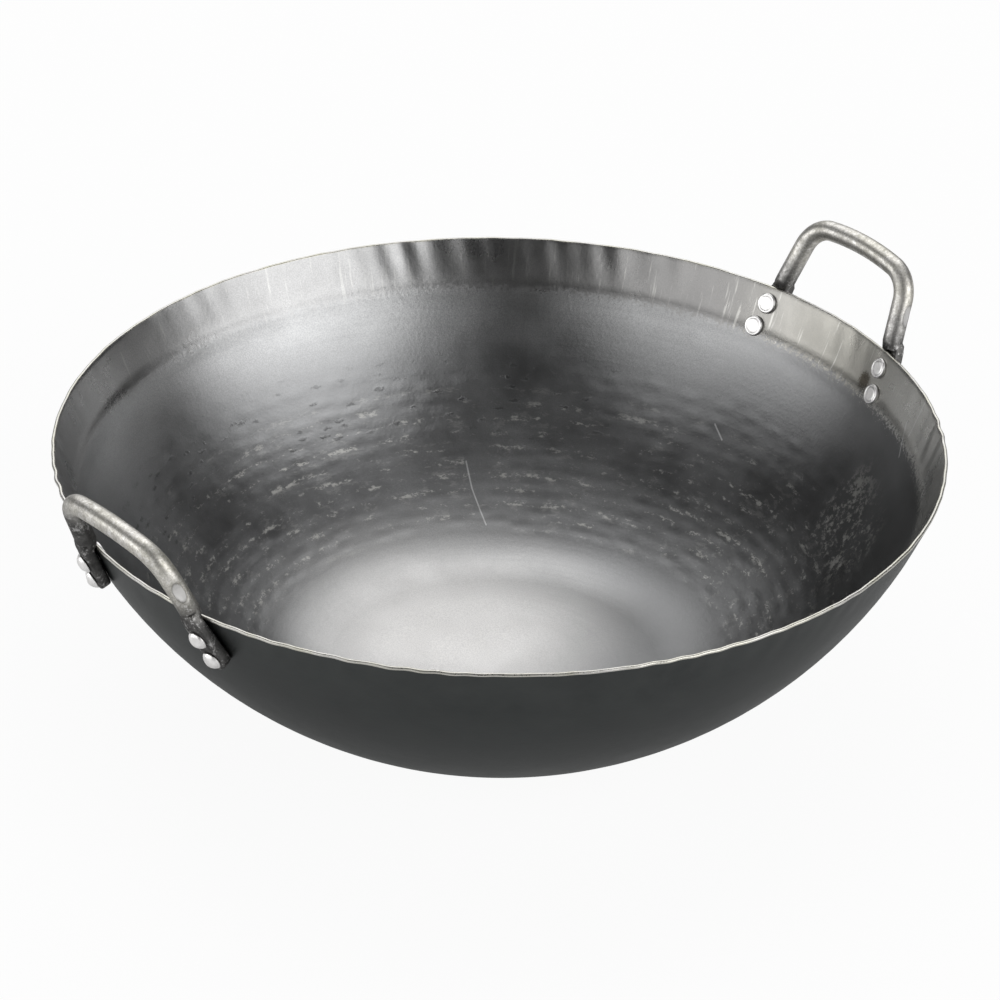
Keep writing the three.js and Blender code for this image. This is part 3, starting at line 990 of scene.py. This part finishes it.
@dataclass
class Bowl:
    """The dished, hammered sheet with its sheared rim."""

    section: SheetSection = field(default_factory=SheetSection)
    sides: int = 600
    inside_steps: tuple[int, int, int, int] = (9, 90, 10, 12)
    outside_steps: tuple[int, int, int, int] = (6, 18, 5, 3)
    edge_steps: int = 6
    row_start: float = 36.0
    row_pitch: float = ROW_PITCH
    mark_pitch: float = 12.0
    mark_reach: Pair = (6.6, 3.0)
    mark_depth: float = 0.14
    mark_shift: float = 0.7
    mark_wander: float = 3.4
    mark_curve: float = 1.5
    light_blow: float = 0.12
    hard_blow: float = 0.88
    groove_depth: float = 0.014
    mark_zone: Zone = (90.0, 99.0, 146.0, 160.0)
    wrinkle_fade: Pair = (24.5, 2.0)
    wrinkle_counts: tuple[int, ...] = (71, 83, 94, 108)
    wrinkle_skew: float = 0.0012
    wrinkle_depth: float = 0.16
    wrinkle_rest: float = 0.28
    wrinkle_patches: tuple[Pair, ...] = ((64, 8), (39, 11), (-32, 12), (-100, 14), (150, 12), (215, 16))
    swell_counts: tuple[int, ...] = (13, 19, 28)
    swell_depth: float = 0.30
    dent_waves: tuple[Pair, ...] = ((47, 0.28), (39, -0.22), (61, 0.17))
    dent_depth: float = 0.07
    crease_drop: float = 21.5
    crease_depth: float = 0.60
    crease_reach: Pair = (2.8, 5.5)
    edge_fade: Pair = (7.0, 0.5)
    edge_counts: tuple[int, ...] = (7, 16, 31, 57, 90)
    edge_wave: float = 0.22
    floor_rise: float = 1.5
    floor_zone: tuple[float, float, float] = (86.0, 86.0, 134.0)

    def build(self, finishes: dict[Face, bpy.types.Material]) -> bpy.types.Object:
        """Builds and dresses the bowl.

        Args:
            finishes: Material of each face of the sheet.

        Returns:
            The finished piece.
        """
        mesh = bmesh.new()
        inside = mesh.verts.layers.float.new("inside")
        outer = self.draw_outside(mesh)
        edge = self.draw_edge(mesh, outer.place)
        inner = self.draw_inside(mesh, edge.place)
        for pen, face in ((outer, Face.OUTSIDE), (edge, Face.EDGE), (inner, Face.INSIDE)):
            for made in pen.revolve(self.sides):
                made.material_index = face.value
                for vert in made.verts:
                    vert[inside] = float(face is Face.INSIDE)
        close_up(mesh)
        self.hammer(mesh, inside)
        return make_object(mesh, "wok_bowl", "bowl", [finishes[face] for face in Face])

    def draw_outside(self, mesh: bmesh.types.BMesh) -> ProfilePen:
        """Draws the outer face from the axis up to the edge.

        Args:
            mesh: The mesh that takes the profile.

        Returns:
            The pen, at the foot of the edge.
        """
        part = self.section
        band, wall, knuckle, flat = self.outside_steps
        pen = ProfilePen(mesh, Vector((0, 0)))
        pen.line(Vector((part.knuckle_centre.x, 0)), flat)
        pen.arc(part.knuckle_centre, math.pi / 2 - part.knuckle_turn, knuckle)
        pen.arc(part.dish_centre, part.knuckle_turn - part.lean, wall)
        pen.line(part.rim - part.slant * (part.sheet / 2), band)
        return pen

    def draw_edge(self, mesh: bmesh.types.BMesh, start: Vector) -> ProfilePen:
        """Draws the rounded edge over the top of the sheet.

        Args:
            mesh: The mesh that takes the profile.
            start: Radius and height of the edge's outer foot.

        Returns:
            The pen, at the inner foot.
        """
        pen = ProfilePen(mesh, start)
        centre = start - self.section.face_normal(self.section.lean) * (self.section.sheet / 2)
        pen.arc(centre, math.pi, self.edge_steps)
        return pen

    def draw_inside(self, mesh: bmesh.types.BMesh, start: Vector) -> ProfilePen:
        """Draws the inner face from the edge down to the axis.

        Args:
            mesh: The mesh that takes the profile.
            start: Radius and height of the edge's inner foot.

        Returns:
            The pen, at the axis.
        """
        part = self.section
        band, wall, knuckle, flat = self.inside_steps
        pen = ProfilePen(mesh, start)
        pen.line(part.band_foot - part.face_normal(part.lean) * part.sheet, band)
        pen.arc(part.dish_centre, part.lean - part.knuckle_turn, wall)
        pen.arc(part.knuckle_centre, part.knuckle_turn - math.pi / 2, knuckle)
        pen.line(Vector((0, part.sheet)), flat)
        return pen

    def hammer(self, mesh: bmesh.types.BMesh, inside: bmesh.types.BMLayerItem) -> None:
        """Works the marks of making into the spun sheet.

        Args:
            mesh: The bowl in millimetres.
            inside: Layer that is 1 on the inner face.
        """
        points = np.array([vert.co for vert in mesh.verts])
        within = np.array([vert[inside] for vert in mesh.verts])
        radius = np.hypot(points[:, 0], points[:, 1])
        azimuth = np.arctan2(points[:, 1], points[:, 0])
        drop, turn = self.section.locate(radius, points[:, 2])
        inward = self.crease(drop) * within - self.rim_wrinkles(drop, azimuth)
        inward -= self.hammer_rows(drop, azimuth, radius) * within
        inward += self.floor_dish(radius) * within
        rise = self.edge_waves(drop, azimuth)
        out = -np.cos(turn) * inward + self.section.slant.x * rise
        up = np.sin(turn) * inward + self.section.slant.y * rise
        points[:, 0] += out * np.cos(azimuth)
        points[:, 1] += out * np.sin(azimuth)
        points[:, 2] += up
        for vert, place in zip(mesh.verts, points):
            vert.co = place

    def floor_dish(self, radius: np.ndarray) -> np.ndarray:
        """Lifts the inner face round the middle, so that the floor of the bowl is slightly dished.

        Args:
            radius: Distance from the axis.

        Returns:
            Inward move of each point.
        """
        reach, fade_start, fade_end = self.floor_zone
        share = np.minimum(radius / reach, 1.0) ** 2
        rise = share * (2 - share)
        return self.floor_rise * rise * smooth_step(fade_end, fade_start, radius)

    def crease(self, drop: np.ndarray) -> np.ndarray:
        """Raises the soft crease between rim band and dish.

        Args:
            drop: Way down from the rim.

        Returns:
            Inward move of each point.
        """
        above, below = self.crease_reach
        away = drop - self.crease_drop
        return self.crease_depth * np.exp(-((away / np.where(away < 0, above, below)) ** 2))

    def rim_wrinkles(self, drop: np.ndarray, azimuth: np.ndarray) -> np.ndarray:
        """Finds how far the wrinkles, swells and dents of the rim stand outwards.

        Args:
            drop: Way down from the rim.
            azimuth: Angle about the axis.

        Returns:
            Outward move of each point, mostly below 0.
        """
        fade = smooth_step(*self.wrinkle_fade, drop)
        close = ripple(azimuth + self.wrinkle_skew * drop, self.wrinkle_counts, 1)
        wide = ripple(azimuth, self.swell_counts, 2)
        strength = np.full_like(azimuth, self.wrinkle_rest)
        for place, spread in self.wrinkle_patches:
            away = np.angle(np.exp(1j * (azimuth - math.radians(place))))
            strength += np.exp(-((away / math.radians(spread)) ** 2))
        dents = sum(
            np.cos(count * azimuth + slope * drop + FULL_TURN * scatter(count, 9))
            for count, slope in self.dent_waves
        )
        depth = self.wrinkle_depth * strength * (close / 2 - 1) + self.swell_depth * (wide / 3 - 1) / 2
        return fade * (depth + self.dent_depth * (dents / 3 - 1))

    def edge_waves(self, drop: np.ndarray, azimuth: np.ndarray) -> np.ndarray:
        """Lets the sheared edge wander up and down."""
        waves = ripple(azimuth, self.edge_counts, 4) / len(self.edge_counts)
        return smooth_step(*self.edge_fade, drop) * self.edge_wave * (waves - 0.5)

    def hammer_rows(self, drop: np.ndarray, azimuth: np.ndarray, radius: np.ndarray) -> np.ndarray:
        """Finds the depth of the hammer marks, which run in rings round the wall.

        Args:
            drop: Way down from the rim.
            azimuth: Angle about the axis.
            radius: Distance from the axis.

        Returns:
            Depth of each point into the sheet.
        """
        depth = np.zeros_like(drop)
        nearest = np.round((drop - self.row_start) / self.row_pitch)
        for row_step in (-1, 0, 1):
            row = nearest + row_step
            row_drop = self.row_start + row * self.row_pitch
            row_turn = self.section.lean + (row_drop - self.section.band) / self.section.dish_radius
            row_radius = self.section.dish_radius * np.cos(row_turn)
            count = np.maximum(1, np.round(FULL_TURN * row_radius / self.mark_pitch))
            here = np.floor(azimuth / FULL_TURN * count)
            for mark_step in (-1, 0, 1):
                mark = here + mark_step
                key = np.mod(mark, count)
                shift = self.mark_shift * (scatter(row, key, 5.0) - 0.5)
                across = (azimuth - (mark + 0.5 + shift) / count * FULL_TURN) * radius
                down = drop - row_drop - self.mark_wander * (scatter(row, key, 6.0) - 0.5)
                hollow = 1 - (across / self.mark_reach[0]) ** 2 - (down / self.mark_reach[1]) ** 2
                force = self.mark_depth * (self.light_blow + self.hard_blow * scatter(row, key, 7.0))
                depth = np.maximum(depth, force * np.clip(hollow, 0, None) ** self.mark_curve)
        wave = np.cos((drop - self.row_start) / self.row_pitch * FULL_TURN)
        depth += self.groove_depth * (0.5 + 0.5 * wave)
        low, full_low, full_high, high = self.mark_zone
        return depth * smooth_step(low, full_low, radius) * smooth_step(high, full_high, radius)


# The handles and rivets


@dataclass(frozen=True)
class Seat:
    """A place on the outer face of the wall."""

    point: Vector
    normal: Vector

    @property
    def matrix(self) -> Matrix:
        """Places a piece whose upright axis points out of the wall."""
        return Matrix.Translation(self.point) @ self.normal.to_track_quat("Z", "Y").to_matrix().to_4x4()


@dataclass(frozen=True)
class Station:
    """One section of the handle's bar."""

    centre: Vector
    width: float
    thickness: float
    square: float


class Leg(Enum):
    """Legs of a handle, by the side that they stand on."""

    LEFT = 1
    RIGHT = -1


@dataclass
class Handle:
    """A bent bar whose forged ends seat on the outside of the wall, and its four rivets."""

    letter: str
    turn: float
    section: SheetSection = field(default_factory=SheetSection)
    bar: float = 8.4
    leg_spacing: float = 69.2
    leg_splay: float = math.radians(10)
    grip_rise: float = 33.5
    grip_radius: float = 130.0
    corner_radius: float = 13.8
    strap_width: float = 10.6
    strap_thickness: float = 5.2
    strap_length: float = 24.0
    shoulder_gap: float = 1.8
    shoulder_run: float = 1.2
    scoop_radius: float = 14.0
    scoop_depth: float = 1.0
    scoop_rise: float = 15.5
    scoop_turn: float = math.radians(15)
    seat_gap: float = 0.3
    bar_sides: int = 36
    bend_steps: int = 22
    leg_steps: int = 18
    tip_steps: int = 9
    round_section: float = 2.0
    strap_section: float = 5.0
    tip_share: float = 0.985
    forge_depth: float = 0.04
    forge_scale: float = 0.55
    rivet_drops: dict[str, float] = field(default_factory=lambda: {"upper": 7.6, "lower": 18.4})

    @property
    def around(self) -> Matrix:
        """Turns the handle from the X axis to its own side of the pan."""
        return Matrix.Rotation(self.turn, 4, "Z")

    def build(self, bar: bpy.types.Material, rivet: bpy.types.Material) -> list[bpy.types.Object]:
        """Builds and dresses the handle and its rivets.

        Args:
            bar: Finish of the bar.
            rivet: Finish of the rivets.

        Returns:
            The finished pieces.
        """
        name = f"handle_{self.letter}"
        pieces = [make_object(self.bend_bar(), f"wok_{name}", name, [bar])]
        for leg in Leg:
            for row, drop in self.rivet_drops.items():
                node = f"rivet_{self.letter}_{leg.name.lower()}_{row}"
                seat = self.seat_at(drop, leg)
                mesh = Rivet(self.section.sheet, self.strap_thickness, self.seat_gap).draw(len(pieces))
                bmesh.ops.transform(mesh, matrix=self.around @ seat.matrix, verts=mesh.verts)
                pieces.append(make_object(mesh, f"wok_{node}", node, [rivet]))
        return pieces

    def leg_reach(self, drop: float) -> float:
        """Half the spacing of the legs at a way down from the rim."""
        return self.leg_spacing / 2 + drop * math.tan(self.leg_splay)

    def seat_at(self, drop: float, leg: Leg) -> Seat:
        """Finds the wall under a leg.

        Args:
            drop: Way down the slant from the rim.
            leg: The leg.

        Returns:
            The seat, for a handle that points along the X axis.
        """
        point, normal = self.section.wall_at(drop)
        azimuth = leg.value * math.asin(self.leg_reach(drop) / point.x)
        lift = [
            Vector((flat.x * math.cos(azimuth), flat.x * math.sin(azimuth), flat.y))
            for flat in (point, normal)
        ]
        return Seat(*lift)

    def plane_point(self, reach: float, rise: float) -> Vector:
        """Finds a point of the plane that the bar is bent in.

        Args:
            reach: Way sideways from the middle.
            rise: Way up the slant from the rim.

        Returns:
            The point, for a handle that points along the X axis.
        """
        seat = self.seat_at(0.0, Leg.LEFT)
        offset = self.seat_gap + self.strap_thickness - self.bar / 2
        start = seat.point + seat.normal * offset
        slant = self.section.slant
        return Vector((start.x + slant.x * rise, reach, start.z + slant.y * rise))

    def bar_path(self) -> list[Vector]:
        """Finds the bar's axis.

        Returns:
            Points from the middle of the grip to the foot of the left leg.
        """
        leg_turn = math.pi / 2 - self.leg_splay
        splay = math.tan(self.leg_splay)
        corner_reach = self.corner_radius * (math.sin(leg_turn) + splay * math.cos(leg_turn))
        fall = self.grip_radius - self.corner_radius
        grip_reach = self.leg_spacing / 2 - splay * (self.grip_rise - self.grip_radius) - corner_reach
        grip_turn = math.asin(grip_reach * math.cos(self.leg_splay) / fall) - self.leg_splay
        low = self.grip_rise - self.grip_radius
        path = []
        for turn in np.linspace(0, grip_turn, self.bend_steps):
            path.append((self.grip_radius * math.sin(turn), low + self.grip_radius * math.cos(turn)))
        centre = (fall * math.sin(grip_turn), low + fall * math.cos(grip_turn))
        for turn in np.linspace(grip_turn, leg_turn, self.bend_steps)[1:]:
            arm = (self.corner_radius * math.sin(turn), self.corner_radius * math.cos(turn))
            path.append((centre[0] + arm[0], centre[1] + arm[1]))
        shoulder = self.shoulder_gap + self.shoulder_run
        top = path[-1]
        foot = (self.leg_reach(-shoulder), shoulder)
        for share in np.linspace(0, 1, self.leg_steps)[1:]:
            path.append((top[0] + (foot[0] - top[0]) * share, top[1] + (foot[1] - top[1]) * share))
        return [self.plane_point(reach, rise) for reach, rise in path]

    def stations(self) -> list[Station]:
        """Lists the bar's sections.

        Returns:
            Sections from the end of one strap to the end of the other.
        """
        half = [Station(centre, self.bar, self.bar, self.round_section) for centre in self.bar_path()]
        straight_end = self.strap_length - self.strap_width / 2
        upper = self.rivet_drops["upper"]
        widths = [
            (drop, float(np.interp(drop, (-self.shoulder_gap, upper), (self.bar, self.strap_width))))
            for drop in np.linspace(-self.shoulder_gap, straight_end, self.leg_steps)
        ]
        for angle in np.linspace(0, self.tip_share * math.pi / 2, self.tip_steps)[1:]:
            drop = straight_end + self.strap_width / 2 * math.sin(angle)
            widths.append((drop, self.strap_width * math.cos(angle)))
        for drop, width in widths:
            seat = self.seat_at(drop, Leg.LEFT)
            centre = seat.point + seat.normal * (self.seat_gap + self.strap_thickness / 2)
            half.append(Station(centre, width, self.strap_thickness, self.strap_section))
        mirror = Vector((1, -1, 1))
        mirrored = [
            Station(station.centre * mirror, station.width, station.thickness, station.square)
            for station in reversed(half[1:])
        ]
        return mirrored + half

    def bend_bar(self) -> bmesh.types.BMesh:
        """Lofts the bar and its forged ends, with the swage marks on the legs.

        Returns:
            The handle in millimetres, in its place.
        """
        mesh = bmesh.new()
        stations = self.stations()
        rings = []
        for index, station in enumerate(stations):
            before = stations[max(0, index - 1)].centre
            after = stations[min(len(stations) - 1, index + 1)].centre
            rings.append(self.draw_ring(mesh, station, (after - before).normalized()))
        for first, second in zip(rings, rings[1:]):
            bmesh.ops.bridge_loops(mesh, edges=first + second)
        for ring in (rings[0], rings[-1]):
            bmesh.ops.edgeloop_fill(mesh, edges=ring)
        close_up(mesh)
        self.press_scoops(mesh)
        self.forge(mesh)
        bmesh.ops.transform(mesh, matrix=self.around, verts=mesh.verts)
        return mesh

    def draw_ring(self, mesh: bmesh.types.BMesh, station: Station, along: Vector) -> list[bmesh.types.BMEdge]:
        """Draws one section of the bar, square to its path and flat to the wall.

        Args:
            mesh: The mesh that takes the ring.
            station: The section.
            along: Direction of the path.

        Returns:
            The ring's edges.
        """
        azimuth = math.asin(station.centre.y / self.section.rim_radius)
        outward = Vector((math.cos(azimuth), math.sin(azimuth), -math.tan(self.section.lean)))
        thick = (outward - along * outward.dot(along)).normalized()
        wide = thick.cross(along)
        made = bmesh.ops.create_circle(mesh, segments=self.bar_sides, radius=1.0)
        power = 2 / station.square
        for vert in made["verts"]:
            swell = [math.copysign(abs(value) ** power, value) for value in (vert.co.x, vert.co.y)]
            vert.co = (
                station.centre
                + wide * (swell[0] * station.width / 2)
                + thick * (swell[1] * station.thickness / 2)
            )
        return list({edge for vert in made["verts"] for edge in vert.link_edges})

    def press_scoops(self, mesh: bmesh.types.BMesh) -> None:
        """Presses a ball into the outer side of each leg and notes the pressed points.

        Args:
            mesh: The bar in millimetres, along the X axis.
        """
        pressed = mesh.verts.layers.float.new(SCOOPED)
        away = self.bar / 2 - self.scoop_depth + self.scoop_radius
        sideways = away * math.cos(self.scoop_turn)
        reach = self.leg_reach(-self.scoop_rise) + sideways * math.cos(self.leg_splay)
        rise = self.scoop_rise + sideways * math.sin(self.leg_splay)
        lean = self.section.lean
        out = Vector((math.cos(lean), 0, -math.sin(lean))) * (away * math.sin(self.scoop_turn))
        for leg in Leg:
            ball = self.plane_point(leg.value * reach, rise) + out
            for vert in mesh.verts:
                arm = vert.co - ball
                if arm.length < self.scoop_radius:
                    vert[pressed] = min(1.0, 2 * (self.scoop_radius - arm.length) / self.scoop_depth)
                    vert.co = ball + arm.normalized() * self.scoop_radius

    def forge(self, mesh: bmesh.types.BMesh) -> None:
        """Leaves the shallow unevenness of forging, only ever inwards.

        Args:
            mesh: The bar in millimetres.
        """
        mesh.normal_update()
        for vert in mesh.verts:
            x, y, z = vert.co * self.forge_scale
            wave = math.sin(x + 1.7 * math.sin(y)) * math.sin(1.3 * y + math.sin(z)) * math.sin(0.9 * z + x)
            vert.co -= vert.normal * (self.forge_depth * (0.5 + 0.5 * wave))


@dataclass
class Rivet:
    """A rivet with a flat head inside the pan and a domed head on the strap."""

    sheet: float
    strap: float
    gap: float
    shank: float = 5.0
    outer_head: Pair = (8.4, 2.6)
    inner_head: Pair = (8.6, 1.3)
    inner_round: float = 0.6
    groove_reach: float = 2.9
    groove_width: float = 0.4
    groove_depth: float = 0.08
    peen_slope: float = 2.6
    peen_drop: float = 0.22
    peen_share: float = 0.75
    sides: int = 48

    def draw(self, seed: int) -> bmesh.types.BMesh:
        """Draws one rivet, upright at the origin of its seat.

        Args:
            seed: Number that sets the marks of this rivet's peening.

        Returns:
            The rivet in millimetres.
        """
        mesh = bmesh.new()
        inner = -self.sheet - self.gap
        outer = self.gap + self.strap + self.gap
        inner_reach, dome_reach = self.inner_head[0] / 2, self.outer_head[0] / 2
        face = inner - self.inner_head[1]
        pen = ProfilePen(mesh, Vector((0, face)))
        for share in (0.5, 1.0):
            pen.line(Vector((self.groove_reach * share, face)), 2)
        pen.line(Vector((self.groove_reach + self.groove_width / 2, face + self.groove_depth)), 2)
        pen.line(Vector((self.groove_reach + self.groove_width, face)), 2)
        pen.line(Vector((inner_reach - self.inner_round, face)), 2)
        pen.arc(Vector((inner_reach - self.inner_round, face + self.inner_round)), math.pi / 2, 6)
        pen.line(Vector((inner_reach, inner)))
        pen.line(Vector((self.shank / 2, inner)))
        pen.line(Vector((self.shank / 2, outer)))
        pen.line(Vector((dome_reach, outer)))
        height = self.outer_head[1]
        dome_radius = (dome_reach**2 + height**2) / (2 * height)
        dome_centre = Vector((0, outer + height - dome_radius))
        foot = math.atan2(outer - dome_centre.y, dome_reach)
        pen.arc(dome_centre, math.pi / 2 - foot, 12)
        pen.revolve(self.sides)
        close_up(mesh)
        self.peen(mesh, seed, outer)
        return mesh

    def peen(self, mesh: bmesh.types.BMesh, seed: int, outer: float) -> None:
        """Flattens the dome a little to one side, as a hammer leaves it.

        Args:
            mesh: The rivet.
            seed: Number of the rivet.
            outer: Height of the strap's outer face.
        """
        turn = FULL_TURN * float(scatter(seed, 8))
        tilt = Vector((math.cos(turn), math.sin(turn), self.peen_slope)).normalized()
        top = Vector((0, 0, outer + self.outer_head[1] - self.peen_drop))
        for vert in mesh.verts:
            above = (vert.co - top).dot(tilt)
            if vert.co.z > outer and above > 0:
                vert.co -= tilt * (self.peen_share * above)


# The studio


@dataclass(frozen=True)
class Glow:
    """A soft light of the studio, by its direction as seen from the pan."""

    azimuth: float
    elevation: float
    core: float
    reach: float
    level: float

    @property
    def direction(self) -> Vector:
        """Direction as seen by the camera, with +Y away from it and +X to its right."""
        turn, rise = math.radians(self.azimuth), math.radians(self.elevation)
        return Vector((math.sin(turn) * math.cos(rise), math.cos(turn) * math.cos(rise), math.sin(rise)))


@dataclass
class Studio:
    """Plain floor, soft light and the camera of the photograph."""

    azimuth: float = math.radians(-38.8)
    elevation: float = math.radians(29.183)
    distance: float = 2.6
    aim_height: float = 0.106
    yaw: float = math.radians(-0.011)
    pitch: float = math.radians(-0.499)
    roll: float = math.radians(-0.965)
    lens: float = 233.56
    sensor: float = 36.0
    clip_end: float = 100.0
    floor_drop: float = 0.0002
    floor_reach: float = 14.0
    floor_matte: float = 0.85
    floor_white: float = 0.94
    floor_mirrored: float = 0.35
    ambient: float = 0.035
    glows: tuple[Glow, ...] = (
        Glow(azimuth=-3, elevation=46, core=6, reach=44, level=2.1),
        Glow(azimuth=8, elevation=78, core=6, reach=42, level=0.42),
        Glow(azimuth=122, elevation=20, core=14, reach=40, level=2.9),
        Glow(azimuth=-126, elevation=13, core=8, reach=38, level=1.6),
        Glow(azimuth=-92, elevation=7, core=4, reach=22, level=2.8),
    )

    @property
    def facing(self) -> Matrix:
        """Turns a place given as seen by the camera into the pan's frame."""
        return Matrix.Rotation(self.azimuth, 4, "Z")

    def build(self) -> None:
        """Builds camera, floor and world."""
        self.build_camera()
        self.build_floor()
        self.build_world()

    def build_camera(self) -> None:
        """Places the camera at the photograph's viewing angle."""
        data = bpy.data.cameras.new("camera")
        data.lens = self.lens
        data.sensor_width = self.sensor
        data.clip_end = self.clip_end
        camera = bpy.data.objects.new("camera", data)
        bpy.context.scene.collection.objects.link(camera)
        back = self.distance * math.cos(self.elevation)
        place = Matrix.Translation((0, -back, self.aim_height + self.distance * math.sin(self.elevation)))
        aim = (
            Matrix.Rotation(math.pi / 2 - self.elevation, 4, "X")
            @ Matrix.Rotation(self.yaw, 4, "Y")
            @ Matrix.Rotation(self.pitch, 4, "X")
            @ Matrix.Rotation(-self.roll, 4, "Z")
        )
        camera.matrix_world = self.facing @ place @ aim
        bpy.context.scene.camera = camera

    def build_floor(self) -> None:
        """Lays the white floor, which keeps a soft shadow."""
        mesh = bmesh.new()
        bmesh.ops.create_circle(mesh, cap_ends=True, segments=96, radius=self.floor_reach)
        bmesh.ops.translate(mesh, verts=mesh.verts, vec=(0, 0, -self.floor_drop))
        data = bpy.data.meshes.new("floor")
        mesh.to_mesh(data)
        mesh.free()
        material = bpy.data.materials.new("floor_white")
        material.use_nodes = True
        sketch = NodeSketch(material.node_tree)
        material.node_tree.nodes.remove(material.node_tree.nodes["Principled BSDF"])
        output = material.node_tree.nodes["Material Output"]
        path = sketch.add("ShaderNodeLightPath")
        mirrored = sketch.times(path.outputs["Is Glossy Ray"], self.floor_mirrored)
        shown = sketch.most(path.outputs["Is Camera Ray"], mirrored)
        seen = sketch.most(shown, path.outputs["Is Transmission Ray"])
        matte = sketch.add("ShaderNodeBsdfDiffuse", {"Color": grey(self.floor_matte)})
        white = sketch.add("ShaderNodeEmission", {"Color": WHITE, "Strength": 1.0})
        share = sketch.times(seen, self.floor_white)
        mixed = sketch.add("ShaderNodeMixShader", {0: share, 1: matte.outputs[0], 2: white.outputs[0]})
        sketch.feed(output.inputs["Surface"], mixed.outputs[0])
        data.materials.append(material)
        floor = bpy.data.objects.new("floor", data)
        bpy.context.scene.collection.objects.link(floor)

    def build_world(self) -> None:
        """Surrounds the pan with a dim room and a few soft glows."""
        world = bpy.data.worlds.new("studio")
        world.use_nodes = True
        bpy.context.scene.world = world
        sketch = NodeSketch(world.node_tree)
        ground = world.node_tree.nodes["Background"]
        look = sketch.add("ShaderNodeTexCoord").outputs["Generated"]
        level: Feed = self.ambient
        for glow in self.glows:
            near = sketch.vector("DOT_PRODUCT", look, self.facing @ glow.direction)
            edge, heart = math.cos(math.radians(glow.reach)), math.cos(math.radians(glow.core))
            level = sketch.plus(level, sketch.ease(near, edge, heart, 0.0, glow.level))
        sketch.feed(ground.inputs["Color"], WHITE)
        sketch.feed(ground.inputs["Strength"], level)


def main() -> None:
    """Builds the pan and its studio, piece by piece."""
    logging.basicConfig(level=logging.INFO, format="%(name)s: %(message)s")
    bpy.context.scene.view_settings.view_transform = "Standard"
    section = SheetSection()
    effects = SharedEffects.build(section)
    finishes = {
        Face.INSIDE: HammeredInside(effects).build(),
        Face.EDGE: ShearedEdge(effects).build(),
        Face.OUTSIDE: ShadedScaleOutside(effects).build(),
    }
    Bowl(section).build(finishes)
    bar, rivet = ForgedBar(effects).build(), PeenedRivet(effects).build()
    for letter, turn in (("a", 0.0), ("b", math.pi + math.radians(0.6))):
        Handle(letter, turn, section).build(bar, rivet)
    Studio().build()


if __name__ == "__main__":
    main()
